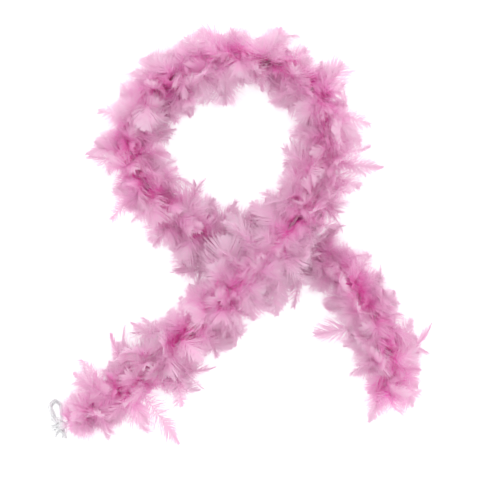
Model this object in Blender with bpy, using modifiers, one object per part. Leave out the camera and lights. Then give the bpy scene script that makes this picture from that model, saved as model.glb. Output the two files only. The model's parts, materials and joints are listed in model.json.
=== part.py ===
"""A feather boa laid down in a crossed loop: a twisted cotton cord, thread wraps on the cord that bind the
quills, feather bunches round the wraps, a tied loop with cut ends at one end and a knot at the other.

Run it with: blender --background --python part.py
Lengths are in metres and +Z is up. The boa lies on z = 0, and the middle of its outline is over the origin.
"""
import bmesh
import bpy
import numpy as np
from mathutils import Matrix, Vector

# Whole boa
LAYOUT_SCALE = 1.0          # grows or shrinks the laid-out route as a whole
PLUME_HALF_WIDTH = 0.056    # from the cord out to the feather tips, along the table
PLUME_HALF_HEIGHT = 0.044   # from the cord up or down to the feather tips
TAIL_FULLNESS = 1.22        # the tail with the tied loop is fuller than the rest
TAIL_SLIMS_FROM = 0.6       # share of the way from its end to the crossing where it starts to slim

# Core cord and what is bound on it
CORE_RADIUS = 0.003
WRAP_WALL = 0.0016          # thickness of the thread and quills wound on the cord
WRAP_LENGTH = 0.014
FIT_GAP = 0.0004            # round each piece that sits on or in another
END_GAP = 0.0003            # from a bunch's end to the plane it shares with its neighbour

# Feather bunches
VALLEY_RADIUS = 0.011       # from the cord's middle to where two sprays of feathers part
VALLEY_SHARE = 0.75         # and at most this share of a low bunch's half height
END_FULLNESS = 0.82         # the spray is this much narrower at a bunch's two ends
SOLE_SLANT_DEG = 16.0       # half the angle of the pressed-down feathers that lie on the table
SPRAY_ANGLES_DEG = (-42.0, 0.0, 44.0, 90.0, 136.0, 180.0, 222.0)

# Crossing
CROSSING_FLATTEN = 0.6      # how much of their height the plumes keep where one lies on the other
CROSSING_GAP = 0.002
CROSSING_BUNCH_LENGTH = 0.09
CROSSING_CORE = 0.95        # in plume half widths along the cord: the crossing is at its full height up to here
CROSSING_REACH = 3.3        # and has come back to the table by here

# Ends of the boa
NECK_HALF_WIDTH = 0.014     # the thin end beside the tied loop
NECK_LENGTH = 0.085
NECK_START = -0.01          # where the neck would be thinnest, just beyond the cord's end
FAR_END_SLIMMING = 0.15     # share of its fullness that the other end loses over its last stretch
FAR_END_LENGTH = 0.06
KNOT_RADIUS = 0.0075
KNOT_LENGTH = 0.013
NECK_TO_KNOT = 0.0055
LOOP_CORD_RADIUS = 0.0034
CUT_ENDS_LENGTH = 0.026
CUT_ENDS_SPREAD = 0.0095
CUT_ENDS_THICKNESS = 0.011
END_KNOT_GAP = 0.001        # from the knot inside the other end to the bunch and to the cord's end

# Joints: a sway turns this far to each side, and a lift or a fold only upwards
SWINGS_DEG = {"plain": 0.0, "sway": 24.0, "lift": 40.0, "fold": 45.0}
LOW_FOLD_Y = 0.086          # the two lines across the loop that it folds up along
HIGH_FOLD_Y = 0.153
CORE_JOINT_ROOM = 1.1       # in cord radii: the width of cord that has to clear at a joint

# The boa's route, seen from above, from the tied loop's end to the other end
ROUTE = (
    (-0.279, -0.316), (-0.202, -0.269), (-0.107, -0.198), (-0.016, -0.101), (0.065, -0.024),
    (0.126, 0.066), (0.156, 0.151), (0.142, 0.232), (0.085, 0.283), (-0.005, 0.297),
    (-0.097, 0.267), (-0.160, 0.210), (-0.167, 0.126), (-0.105, 0.043), (-0.028, -0.007),
    (0.065, -0.024), (0.167, -0.047), (0.224, -0.121), (0.259, -0.194), (0.268, -0.271),
)
OVER_POINT, UNDER_POINT = 4, 15      # the route's points at the crossing, on top and below
# The tied loop's route from the middle of its knot, and the way the cut ends point
TIED_LOOP = (
    (-0.0016, 0.0094), (-0.0025, 0.0220), (-0.0060, 0.0340), (-0.0135, 0.0400), (-0.0205, 0.0355),
    (-0.0200, 0.0245), (-0.0150, 0.0125), (-0.0093, 0.0034),
)
CUT_ENDS_AIM = (-0.68, -0.73)

ROUTE_STEP = 0.0005
TIED_LOOP_STEP = 0.004
SPANS = 3                   # straight stretches of cord and plume in each bunch
PARTING_SEARCH = 0.06       # how far along the cord from a parting its bunches' corners can lie
HALVINGS = 26               # steps of the search for them
PINK, COTTON, THREAD = (0.72, 0.36, 0.58), (0.86, 0.85, 0.83), (0.75, 0.45, 0.62)


def spline_through(points, step):
    """Points about step apart on the natural cubic curve through points."""
    points = np.array(points, float)
    spans = np.linalg.norm(np.diff(points, axis=0), axis=1)
    knots = np.concatenate([[0.0], np.cumsum(spans)])
    matrix, pull = np.eye(len(points)), np.zeros_like(points)
    for i in range(1, len(points) - 1):
        matrix[i, i - 1 : i + 2] = spans[i - 1], 2 * (spans[i - 1] + spans[i]), spans[i]
        pull[i] = 6 * ((points[i + 1] - points[i]) / spans[i] - (points[i] - points[i - 1]) / spans[i - 1])
    bend = np.linalg.solve(matrix, pull)
    along = np.linspace(0, knots[-1], int(knots[-1] / step) + 1)
    k = np.clip(np.searchsorted(knots, along, "right") - 1, 0, len(spans) - 1)
    before = ((knots[k + 1] - along) / spans[k])[:, None]
    after = 1 - before
    curve = (before**3 - before) * bend[k] + (after**3 - after) * bend[k + 1]
    return before * points[k] + after * points[k + 1] + curve * spans[k][:, None] ** 2 / 6


PLAN = spline_through(np.array(ROUTE) * LAYOUT_SCALE, ROUTE_STEP)
RUN = np.concatenate([[0.0], np.cumsum(np.linalg.norm(np.diff(PLAN, axis=0), axis=1))])
HEADINGS = np.gradient(PLAN, RUN, axis=0)
HEADINGS /= np.linalg.norm(HEADINGS, axis=1)[:, None]
END_RUN = RUN[-1]


def run_at_point(index, low, high):
    """How far along the boa a point of the route lies, between two places on it."""
    inside = (RUN >= low) & (RUN <= high)
    gaps = np.linalg.norm(PLAN[inside] - np.array(ROUTE[index]) * LAYOUT_SCALE, axis=1)
    return RUN[inside][np.argmin(gaps)]


HALF_BUNCH = CROSSING_BUNCH_LENGTH / 2
OVER_RUN = run_at_point(OVER_POINT, 0.0, END_RUN / 2)
UNDER_RUN = run_at_point(UNDER_POINT, END_RUN / 2, END_RUN)


def eased(value, low, high):
    """0 up to low, 1 from high on, and a smooth step between."""
    share = np.clip((value - low) / (high - low), 0.0, 1.0)
    return share * share * (3 - 2 * share)


def nearness(run, crossing_run):
    """1 at the crossing, falling to 0 where the two strands no longer meet."""
    away = abs(run - crossing_run) / PLUME_HALF_WIDTH
    return 1 - eased(away, CROSSING_CORE, CROSSING_REACH)


def fullness(run):
    """Share of the full plume at a place on the boa, thin at the neck and a little less at the far end."""
    neck_share = NECK_HALF_WIDTH / PLUME_HALF_WIDTH
    neck = neck_share + (1 - neck_share) * eased(run, NECK_START, NECK_LENGTH)
    return neck * (1 - FAR_END_SLIMMING * eased(run, END_RUN - FAR_END_LENGTH, END_RUN))


def half_width(run):
    tail = TAIL_FULLNESS - (TAIL_FULLNESS - 1) * eased(run, TAIL_SLIMS_FROM * OVER_RUN, OVER_RUN)
    return PLUME_HALF_WIDTH * fullness(run) * tail


def half_height(run):
    flat = 1 - (1 - CROSSING_FLATTEN) * max(nearness(run, OVER_RUN), nearness(run, UNDER_RUN))
    return PLUME_HALF_HEIGHT * fullness(run) * flat


def core_height(run):
    """Height of the cord's middle: on its own feathers, and on the other strand at the crossing."""
    carried = 2 * PLUME_HALF_HEIGHT * CROSSING_FLATTEN + CROSSING_GAP
    return half_height(run) + carried * nearness(run, OVER_RUN)


def core_at(run):
    return Vector((np.interp(run, RUN, PLAN[:, 0]), np.interp(run, RUN, PLAN[:, 1]), core_height(run)))


def heading_at(run):
    return Vector((np.interp(run, RUN, HEADINGS[:, 0]), np.interp(run, RUN, HEADINGS[:, 1]), 0)).normalized()


def side_at(run):
    """Level and square to the cord, to its right."""
    return heading_at(run).cross(Vector((0, 0, 1)))


def run_at_y(y, low, high):
    """Where the cord crosses the level line y between two places on it."""
    inside = (RUN >= low) & (RUN <= high)
    return RUN[inside][np.argmin(abs(PLAN[inside, 1] - y * LAYOUT_SCALE))]


class Parting:
    """The plane between two neighbours, with the room that a joint there needs on each side of it.

    A hinge that bends the boa upwards lies in the plane, through the cord, and climbs by rise to the right.
    """

    def __init__(self, run, kind="plain", normal=None):
        self.run, self.kind = run, kind
        self.point = core_at(run)
        self.normal = normal or heading_at(run)
        self.side = self.normal.cross(Vector((0, 0, 1)))
        self.rise = 0.0

    def room(self, place):
        """How far from the plane a point at place stays."""
        across = (place - self.point).dot(self.side)
        above = max(0.0, place.z - self.point.z - self.rise * across)
        lever = abs(across) if self.kind == "sway" else above
        return END_GAP + lever * np.tan(np.radians(SWINGS_DEG[self.kind]) / 2)

    def run_clear_of(self, offset, way):
        """Where along the cord a point offset from it (across, up) comes clear, before (-1) or after (+1)."""
        low, high = self.run - PARTING_SEARCH, self.run + PARTING_SEARCH
        for _ in range(HALVINGS):
            middle = (low + high) / 2
            place = core_at(middle) + side_at(middle) * offset[0]
            place.z = self.point.z + offset[1]
            reach = (place - self.point).dot(self.normal) - way * self.room(place)
            low, high = (middle, high) if reach < 0 else (low, middle)
        return (low + high) / 2


def material(name, colour, roughness):
    made = bpy.data.materials.get(name) or bpy.data.materials.new(name)
    made.use_nodes = True
    shader = made.node_tree.nodes["Principled BSDF"]
    shader.inputs["Base Color"].default_value = (*colour, 1)
    shader.inputs["Roughness"].default_value = roughness
    shader.inputs["Metallic"].default_value = 0
    return made


def add_object(name, data, finish):
    made = bpy.data.objects.new(name, data)
    made.data.materials.append(finish)
    PARTS.objects.link(made)
    return made


def section_outline(run):
    """The bunch's outline round the cord at one place, as (across, up, kind) points.

    Tips of feather sprays alternate with the valleys between them, and the lowest spray is pressed flat.
    """
    wide, high = half_width(run), half_height(run)
    sole = high * np.tan(np.radians(SOLE_SLANT_DEG))
    angles = np.radians([-90 + SOLE_SLANT_DEG, *SPRAY_ANGLES_DEG, 270 - SOLE_SLANT_DEG])
    valley = min(VALLEY_RADIUS, VALLEY_SHARE * high)
    outline = [(sole, -high, "sole")]
    for before, after in zip(angles, angles[1:]):
        middle = (before + after) / 2
        outline.append((valley * np.cos(middle), valley * np.sin(middle), "valley"))
        outline.append((wide * np.cos(after), high * np.sin(after), "tip"))
    outline[-1] = (-sole, -high, "sole")
    return outline


def bore_outline(count, run):
    """A round outline of count points for the hole, stretched upwards where the cord climbs."""
    climb = core_height(run + WRAP_LENGTH / 2) - core_height(run - WRAP_LENGTH / 2)
    stretch = float(np.hypot(1, climb / WRAP_LENGTH))
    radius = (CORE_RADIUS + WRAP_WALL + 2 * FIT_GAP) / np.cos(np.pi / count)
    angles = np.linspace(0, 2 * np.pi, count, endpoint=False) - np.radians(90 - SOLE_SLANT_DEG)
    return [(radius * np.cos(a), radius * stretch * np.sin(a), "bore") for a in angles]


def bunch_ring(mesh, outline, share, start, end):
    """One ring of a bunch, a share of the way from its first parting to its last, with its end ring in the gap."""
    run = start.run + (end.run - start.run) * share
    at_end = share in (0, 1)
    ring = []
    for across, up, kind in outline:
        if at_end and kind == "tip":
            across, up = across * END_FULLNESS, up * END_FULLNESS
        first, last = start.run_clear_of((across, up), 1), end.run_clear_of((across, up), -1)
        at = first + (last - first) * share
        place = core_at(at) + side_at(at) * across
        place.z = core_height(run if at_end else at) + up
        if kind == "sole":
            place.z = core_height(at) - half_height(at)
        ring.append(mesh.verts.new(place))
    return ring


def add_bunch(name, start, end):
    """One bunch of feathers between two partings: a lofted spray with a hole for the bound cord."""
    mesh = bmesh.new()
    outers, bores = [], []
    for step in range(SPANS + 1):
        share = step / SPANS
        run = start.run + (end.run - start.run) * share
        outline = section_outline(run)
        outers.append(bunch_ring(mesh, outline, share, start, end))
        bores.append(bunch_ring(mesh, bore_outline(len(outline), run), share, start, end))
    bands = [*zip(outers, outers[1:]), *zip(bores[1:], bores), (bores[0], outers[0]), (outers[-1], bores[-1])]
    for one, two in bands:
        loft(mesh, one, two)
    bmesh.ops.recalc_face_normals(mesh, faces=mesh.faces)
    return add_object(name, finished(mesh, name), material("feathers", PINK, 0.85))


def loft(mesh, one, two):
    """Faces between two rings of the same number of points."""
    count = len(one)
    for i in range(count):
        mesh.faces.new((one[i], one[(i + 1) % count], two[(i + 1) % count], two[i]))


def finished(mesh, name):
    """A Blender mesh from a bmesh that isn't needed any more."""
    data = bpy.data.meshes.new(name)
    mesh.to_mesh(data)
    mesh.free()
    return data


def tube(name, points, radius, finish):
    """A cord as a curve with a round bevel and filled ends."""
    curve = bpy.data.curves.new(name, "CURVE")
    curve.dimensions = "3D"
    curve.bevel_depth = radius
    curve.bevel_resolution = 2
    curve.use_fill_caps = True
    spline = curve.splines.new("POLY")
    spline.points.add(len(points) - 1)
    for point, place in zip(spline.points, points):
        point.co = (*place, 1)
    return add_object(name, curve, finish)


def add_core(name, partings):
    """The cord through the bunches between the first and the last parting, clear of the joints at its ends."""
    runs = [partings[0].run]
    for one, two in zip(partings, partings[1:]):
        runs += [one.run + (two.run - one.run) * step / SPANS for step in range(1, SPANS + 1)]
    runs[0] = partings[0].run + core_end_gap(partings[0])
    runs[-1] = partings[-1].run - core_end_gap(partings[-1])
    return tube(name, [core_at(run) for run in runs], CORE_RADIUS, material("cotton", COTTON, 0.9))


def core_end_gap(parting):
    """How far short of a parting the cord ends, so that its edge stays clear over the joint's range."""
    swing = np.radians(SWINGS_DEG[parting.kind])
    slant = parting.normal.angle(heading_at(parting.run))
    return END_GAP + FIT_GAP + CORE_RADIUS * CORE_JOINT_ROOM * (np.tan(swing / 2) + np.tan(slant))


def turned(name, profile, place, axis, finish, steps=10):
    """A turned piece: a profile of (radius, along) from its top down to its bottom, spun round axis."""
    data = bpy.data.meshes.new(name)
    data.from_pydata([(r, 0, z) for r, z in profile], [(i, i + 1) for i in range(len(profile) - 1)], [])
    made = add_object(name, data, finish)
    screw = made.modifiers.new("spin", "SCREW")
    screw.axis, screw.steps, screw.render_steps = "Z", steps, steps
    screw.use_merge_vertices, screw.merge_threshold = True, 0.00001
    made.rotation_euler = Vector((0, 0, 1)).rotation_difference(axis).to_euler()
    made.location = place
    return made


def add_wrap(name, start, end):
    """Thread wound over the quills on the cord, on the middle straight stretch of a bunch."""
    one, two = [core_at(start.run + (end.run - start.run) * share) for share in (1 / SPANS, 2 / SPANS)]
    inner, outer, half = CORE_RADIUS + FIT_GAP, CORE_RADIUS + WRAP_WALL, WRAP_LENGTH / 2
    profile = [(inner, half), (outer, half), (outer, -half), (inner, -half), (inner, half)]
    return turned(name, profile, (one + two) / 2, (two - one).normalized(), material("thread", THREAD, 0.8))


def knot_profile(radius, length):
    """A barrel with round ends, closed on its axis."""
    angles = np.radians(np.linspace(90, -90, 7))[1:-1]
    belly = [(radius * float(np.cos(a)), length / 2 * float(np.sin(a))) for a in angles]
    return [(0.0, length / 2), *belly, (0.0, -length / 2)]


def add_tied_end():
    """The exposed end: a knot beside the neck, the cord's loop out of it, and the cut ends."""
    cotton = material("cotton", COTTON, 0.9)
    outward = -heading_at(0.0)
    centre = core_at(0.0) + outward * (KNOT_LENGTH / 2 + NECK_TO_KNOT)
    turned("loop_knot", knot_profile(KNOT_RADIUS, KNOT_LENGTH), centre, outward, cotton)
    plan = spline_through(np.array(TIED_LOOP) + np.array([centre.x, centre.y]), TIED_LOOP_STEP)
    fall = np.linspace(centre.z, LOOP_CORD_RADIUS, len(plan) // 3)
    heights = np.concatenate([fall, np.full(len(plan) - 2 * len(fall), LOOP_CORD_RADIUS), fall[::-1]])
    tube("end_loop", [(x, y, z) for (x, y), z in zip(plan, heights)], LOOP_CORD_RADIUS, cotton)
    add_cut_ends(centre, cotton)


def add_cut_ends(centre, cotton):
    """The cut strands beyond the knot, spreading and flattening as they come down to the table."""
    aim = Vector((*CUT_ENDS_AIM, 0)).normalized()
    across = aim.cross(Vector((0, 0, 1)))
    start = centre + aim * (KNOT_RADIUS + 2 * FIT_GAP)
    stop = start + aim * CUT_ENDS_LENGTH
    stop.z = CUT_ENDS_THICKNESS / 2
    neck = KNOT_RADIUS / 2
    rings, sides = [], 10
    mesh = bmesh.new()
    for middle, wide, high in ((start, neck, neck), (stop, CUT_ENDS_SPREAD, CUT_ENDS_THICKNESS / 2)):
        angles = np.linspace(0, 2 * np.pi, sides, endpoint=False)
        rings.append([mesh.verts.new(middle + across * wide * float(np.cos(a))
                                     + Vector((0, 0, high * float(np.sin(a))))) for a in angles])
    loft(mesh, *rings)
    for ring in rings:
        mesh.faces.new(ring)
    bmesh.ops.recalc_face_normals(mesh, faces=mesh.faces)
    add_object("cut_ends", finished(mesh, "cut_ends"), cotton)


def partings_between(start, end, count, kinds=()):
    """count + 1 partings evenly along the cord, with the kinds given for the ones between."""
    runs = np.linspace(start.run, end.run, count + 1)[1:-1]
    kinds = list(kinds) + ["plain"] * (len(runs) - len(kinds))
    return [start, *(Parting(run, kind) for run, kind in zip(runs, kinds)), end]


def add_strand(sections, first_number):
    """Bunches, wraps and core cords for [(core name, partings)], numbered on from first_number."""
    number = first_number
    for core_name, partings in sections:
        add_core(core_name, partings)
        for start, end in zip(partings, partings[1:]):
            add_bunch(f"feather_bunch_{number:02d}", start, end)
            add_wrap(f"thread_wrap_{number:02d}", start, end)
            number += 1
    return number


def fold_partings(y):
    """The loop's right and left partings on a level line y, with one hinge through both cords."""
    top_run = RUN[np.argmax(PLAN[:, 1])]
    right = Parting(run_at_y(y, OVER_RUN, top_run), "fold", Vector((0, 1, 0)))
    left = Parting(run_at_y(y, top_run, UNDER_RUN), "fold", Vector((0, -1, 0)))
    climb = (right.point.z - left.point.z) / (right.point.x - left.point.x)
    right.rise, left.rise = climb * right.side.x, climb * left.side.x
    return right, left


def build():
    """The whole boa, bunch by bunch along the cord from the tied loop's end."""
    low_right, low_left = fold_partings(LOW_FOLD_Y)
    high_right, high_left = fold_partings(HIGH_FOLD_Y)
    start, over_in, over_out = Parting(0.0), Parting(OVER_RUN - HALF_BUNCH), Parting(OVER_RUN + HALF_BUNCH)
    under_in, under_out = Parting(UNDER_RUN - HALF_BUNCH), Parting(UNDER_RUN + HALF_BUNCH)
    finish = Parting(END_RUN - KNOT_LENGTH)
    left = partings_between(start, over_in, 5, ("sway", "lift", "sway"))
    right = partings_between(under_out, finish, 4, ("sway", "lift", "sway"))
    sections = [
        ("core_left_tail_3", left[0:2]), ("core_left_tail_2", left[1:3]), ("core_left_tail_1", left[2:4]),
        ("core_upper_strand", [*left[3:], over_out, low_right]),
        ("core_loop_base_right", [low_right, high_right]),
        ("core_loop_top", partings_between(high_right, high_left, 6)),
        ("core_loop_base_left", [high_left, low_left]),
        ("core_lower_strand", [*partings_between(low_left, under_in, 2), under_out, right[1]]),
        ("core_right_tail_1", right[1:3]), ("core_right_tail_2", right[2:4]), ("core_right_tail_3", right[3:5]),
    ]
    add_strand(sections, 1)
    add_tied_end()
    knot_centre = core_at(END_RUN) - heading_at(END_RUN) * (KNOT_LENGTH / 2 - END_KNOT_GAP)
    knot = knot_profile(KNOT_RADIUS, KNOT_LENGTH - 2 * END_KNOT_GAP)
    turned("end_knot", knot, knot_centre, heading_at(END_RUN), material("cotton", COTTON, 0.9))


for old in list(bpy.data.objects):
    bpy.data.objects.remove(old)
PARTS = bpy.data.collections.new("feather_boa")
bpy.context.scene.collection.children.link(PARTS)
build()
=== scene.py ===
"""The looks of a feather boa laid down in a crossed loop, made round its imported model.

Lengths are in metres, +Z is up and the boa lies on z = 0. One cotton cord runs through the whole boa. Thread
binds the quills of the feathers round it, bunch by bunch, and one end of the cord shows as a tied loop beside
a thin neck.
"""

import json
import math

import bpy
import numpy as np
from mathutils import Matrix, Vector


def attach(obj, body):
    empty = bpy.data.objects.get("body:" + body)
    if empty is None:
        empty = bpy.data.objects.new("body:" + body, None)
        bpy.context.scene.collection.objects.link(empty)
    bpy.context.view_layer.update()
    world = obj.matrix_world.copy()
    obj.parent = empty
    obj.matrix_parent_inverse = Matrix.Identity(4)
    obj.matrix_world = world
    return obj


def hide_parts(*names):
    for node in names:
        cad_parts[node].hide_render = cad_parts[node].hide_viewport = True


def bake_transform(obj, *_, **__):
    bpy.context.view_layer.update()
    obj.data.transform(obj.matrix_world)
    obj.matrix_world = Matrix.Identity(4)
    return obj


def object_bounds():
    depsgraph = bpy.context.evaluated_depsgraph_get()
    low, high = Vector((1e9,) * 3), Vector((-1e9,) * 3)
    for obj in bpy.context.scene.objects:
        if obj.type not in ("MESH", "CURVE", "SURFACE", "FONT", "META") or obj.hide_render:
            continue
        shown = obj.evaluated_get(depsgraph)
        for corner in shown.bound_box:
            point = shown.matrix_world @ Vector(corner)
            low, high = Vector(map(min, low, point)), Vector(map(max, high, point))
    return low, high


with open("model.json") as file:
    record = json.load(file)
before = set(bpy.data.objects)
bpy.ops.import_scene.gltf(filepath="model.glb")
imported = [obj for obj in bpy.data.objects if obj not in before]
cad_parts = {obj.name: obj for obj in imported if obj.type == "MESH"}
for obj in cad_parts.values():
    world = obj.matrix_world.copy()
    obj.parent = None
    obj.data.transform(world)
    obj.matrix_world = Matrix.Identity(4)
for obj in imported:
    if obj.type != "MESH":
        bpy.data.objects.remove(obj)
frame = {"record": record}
CAD_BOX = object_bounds()

# ---- Table top, light and camera ---------------------------------------------------------------------------
# The boa lies on white seamless paper under soft studio light, and the camera looks straight down on it.
# The largest softbox stands beyond the top of the loop, so the feathers shade a little towards the two tails.
PAPER_SIZE = 14.0
PAPER_DROP = 0.0004
VIEW_MIDDLE = Vector((0.012, -0.007, 0.05))
VIEW_WIDTH = 0.802
LENS_MM, SENSOR_MM = 100.0, 36.0
SOFTBOXES = (
    ("far_softbox", (-0.25, 1.7, 1.5), 1.6, 11.0),
    ("left_softbox", (-1.7, 0.1, 1.5), 1.3, 4.5),
    ("right_softbox", (1.7, -0.2, 1.4), 1.3, 4.5),
)
SKY_STRENGTH = 1.12


def link(thing):
    """Puts an object in the scene."""
    bpy.context.scene.collection.objects.link(thing)
    return thing


def aim(thing, target):
    """Turns a light or a camera towards a point."""
    thing.rotation_euler = (Vector(target) - thing.location).to_track_quat("-Z", "Y").to_euler()


class Field:
    """A value in a node tree, so that a formula is written as ordinary arithmetic."""

    def __init__(self, tree, socket):
        self.tree, self.socket = tree, socket

    def out(self, name):
        """Another output of the node that this value comes from."""
        return Field(self.tree, self.tree.shown(self.socket.node.outputs, name))

    def __add__(self, other):
        return self.tree.sum("ADD", self, other)

    def __sub__(self, other):
        return self.tree.sum("SUBTRACT", self, other)

    def __rsub__(self, other):
        return self.tree.sum("SUBTRACT", other, self)

    def __mul__(self, other):
        if self.tree.is_vector(self) == self.tree.is_vector(other):
            return self.tree.sum("MULTIPLY", self, other)
        vector, scale = (self, other) if self.tree.is_vector(self) else (other, self)
        return self.tree.add("ShaderNodeVectorMath", {0: vector, "Scale": scale}, operation="SCALE")

    def __truediv__(self, other):
        return self.tree.sum("DIVIDE", self, other)

    def __pow__(self, power):
        return self.tree.sum("POWER", self, power)

    __radd__, __rmul__ = __add__, __mul__


class Tree:
    """A node tree that is put together line by line."""

    def __init__(self, nodes_of):
        self.nodes_of = nodes_of

    @staticmethod
    def shown(sockets, key):
        """The socket with that number, or with that name among those that are in use."""
        if isinstance(key, int):
            return sockets[key]
        return next(socket for socket in sockets if socket.name == key and socket.enabled)

    @staticmethod
    def is_vector(value):
        """Whether a value is a vector or a colour, and not a number."""
        kind = value.socket.type if isinstance(value, Field) else ""
        return kind in ("VECTOR", "RGBA") or not isinstance(value, (Field, int, float))

    def add(self, kind, inputs=(), **settings):
        """A node with its settings and inputs, as the value of its first output in use."""
        node = self.nodes_of.nodes.new(kind)
        for name, value in settings.items():
            setattr(node, name, value)
        for key, value in dict(inputs).items():
            for one in value if isinstance(value, list) else [value]:
                if isinstance(one, Field):
                    self.nodes_of.links.new(one.socket, self.shown(node.inputs, key))
                else:
                    self.shown(node.inputs, key).default_value = one
        outputs = [s for s in node.outputs if s.enabled]
        return Field(self, outputs[0]) if outputs else node

    def sum(self, operation, *values):
        """Arithmetic on numbers or on vectors."""
        kind = "ShaderNodeVectorMath" if self.is_vector(values[0]) else "ShaderNodeMath"
        return self.add(kind, dict(enumerate(values)), operation=operation)

    def eased(self, value, low, high, start=0.0, end=1.0):
        """start up to low, end from high on, and a smooth step between."""
        span = {"Value": value, "From Min": low, "From Max": high, "To Min": start, "To Max": end}
        return self.add("ShaderNodeMapRange", span, interpolation_type="SMOOTHSTEP")

    def noise(self, place, scale, detail=2.0):
        return self.add("ShaderNodeTexNoise", {"Vector": place, "Scale": scale, "Detail": detail})


class Finish(Tree):
    """A material, with its Principled shader and the place on the piece ready to use."""

    def __init__(self, name, **constants):
        self.material = bpy.data.materials.new(name)
        self.material.use_nodes = True
        super().__init__(self.material.node_tree)
        self.shader = self.nodes_of.nodes["Principled BSDF"]
        for socket, value in constants.items():
            self.shader.inputs[socket.replace("_", " ")].default_value = value
        self.place = self.add("ShaderNodeTexCoord").out("Object")

    def set(self, **values):
        """Feeds values that change over the surface into the shader."""
        for socket, value in values.items():
            self.nodes_of.links.new(value.socket, self.shader.inputs[socket.replace("_", " ")])
        return self.material

    def ramp(self, value, *stops):
        """A colour for each value, through (position, colour) stops."""
        made = self.add("ShaderNodeValToRGB", {"Fac": value})
        elements = made.socket.node.color_ramp.elements
        for i, (position, colour) in enumerate(stops):
            element = elements[i] if i < 2 else elements.new(position)
            element.position, element.color = position, (*colour, 1)
        return made

    def bump(self, height, distance, strength=1.0):
        return self.add("ShaderNodeBump", {"Height": height, "Distance": distance, "Strength": strength})


paper_finish = Finish("white_paper", Roughness=0.9, Emission_Color=(1, 1, 1, 1), Emission_Strength=0.7)
grain = paper_finish.noise(paper_finish.place, 400.0)
paper_finish.set(Base_Color=paper_finish.ramp(grain, (0.0, (0.48, 0.48, 0.48)), (1.0, (0.52, 0.52, 0.52))))
bpy.ops.mesh.primitive_plane_add(size=PAPER_SIZE, location=(0, 0, -PAPER_DROP))
paper = bpy.context.object
paper.name = "paper"
paper.data.materials.append(paper_finish.material)

for name, place, size, power in SOFTBOXES:
    lamp = link(bpy.data.objects.new(name, bpy.data.lights.new(name, "AREA")))
    lamp.data.shape, lamp.data.size, lamp.data.energy = "SQUARE", size, power
    lamp.location = place
    aim(lamp, (0, 0, 0))
sky = bpy.data.worlds.new("studio")
sky.use_nodes = True
sky.node_tree.nodes["Background"].inputs["Color"].default_value = (1, 1, 1, 1)
sky.node_tree.nodes["Background"].inputs["Strength"].default_value = SKY_STRENGTH
bpy.context.scene.world = sky
bpy.context.scene.view_settings.view_transform = "Standard"

camera = link(bpy.data.objects.new("overhead_camera", bpy.data.cameras.new("overhead_camera")))
camera.data.lens, camera.data.sensor_width = LENS_MM, SENSOR_MM
camera.location = VIEW_MIDDLE + Vector((0, 0, VIEW_WIDTH * LENS_MM / SENSOR_MM))
bpy.context.scene.camera = camera

# ---- Core cord ---------------------------------------------------------------------------------------------
# A limp cotton cord of three plies, 6 mm thick and 1.83 m long, which carries every feather of the boa.
# It lies at the height of the plume's middle, and rises over the other strand at the crossing.
# Each stretch is swept along the cord's route and has one joint in it.
ROUTE = (
    (-0.279, -0.316), (-0.202, -0.269), (-0.107, -0.198), (-0.016, -0.101), (0.065, -0.024),
    (0.126, 0.066), (0.156, 0.151), (0.142, 0.232), (0.085, 0.283), (-0.005, 0.297),
    (-0.097, 0.267), (-0.160, 0.210), (-0.167, 0.126), (-0.105, 0.043), (-0.028, -0.007),
    (0.065, -0.024), (0.167, -0.047), (0.224, -0.121), (0.259, -0.194), (0.268, -0.271),
)
OVER_POINT, UNDER_POINT = 4, 15
ROUTE_STEP = 0.0005
CORE_RADIUS = 0.003
CORD_STEP = 0.0015
PLUME_HALF_WIDTH, PLUME_HALF_HEIGHT = 0.056, 0.044
CROSSING_FLATTEN, CROSSING_GAP = 0.6, 0.002
CROSSING_CORE, CROSSING_REACH, CROSSING_BUNCH_LENGTH = 0.95, 3.3, 0.09
NECK_HALF_WIDTH, NECK_START, NECK_LENGTH = 0.014, -0.01, 0.085
FAR_END_SLIMMING, FAR_END_LENGTH = 0.15, 0.06
KNOT_LENGTH = 0.013
LOW_FOLD_Y, HIGH_FOLD_Y = 0.086, 0.153
BEND_REACH = 0.034  # along the boa, from a joint to where the bend ends
CORD = {"Plies": 3, "Ply_Depth": 0.3, "Lay": 0.021}


def spline_through(points, step):
    """Points about step apart on the natural cubic curve through points."""
    points = np.array(points, float)
    spans = np.linalg.norm(np.diff(points, axis=0), axis=1)
    knots = np.concatenate([[0.0], np.cumsum(spans)])
    matrix, pull = np.eye(len(points)), np.zeros_like(points)
    for i in range(1, len(points) - 1):
        matrix[i, i - 1 : i + 2] = spans[i - 1], 2 * (spans[i - 1] + spans[i]), spans[i]
        pull[i] = 6 * ((points[i + 1] - points[i]) / spans[i] - (points[i] - points[i - 1]) / spans[i - 1])
    bend = np.linalg.solve(matrix, pull)
    along = np.linspace(0, knots[-1], int(knots[-1] / step) + 1)
    k = np.clip(np.searchsorted(knots, along, "right") - 1, 0, len(spans) - 1)
    before = ((knots[k + 1] - along) / spans[k])[:, None]
    after = 1 - before
    curve = (before**3 - before) * bend[k] + (after**3 - after) * bend[k + 1]
    return before * points[k] + after * points[k + 1] + curve * spans[k][:, None] ** 2 / 6


PLAN = spline_through(ROUTE, ROUTE_STEP)
RUN = np.concatenate([[0.0], np.cumsum(np.linalg.norm(np.diff(PLAN, axis=0), axis=1))])
HEADINGS = np.gradient(PLAN, RUN, axis=0)
END_RUN = RUN[-1]


def run_nearest(gaps, low, high):
    """The place along the cord, between two others, where gaps is least."""
    inside = (RUN >= low) & (RUN <= high)
    return RUN[inside][np.argmin(gaps[inside])]


def distance_to(index):
    return np.linalg.norm(PLAN - np.array(ROUTE[index]), axis=1)


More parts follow.
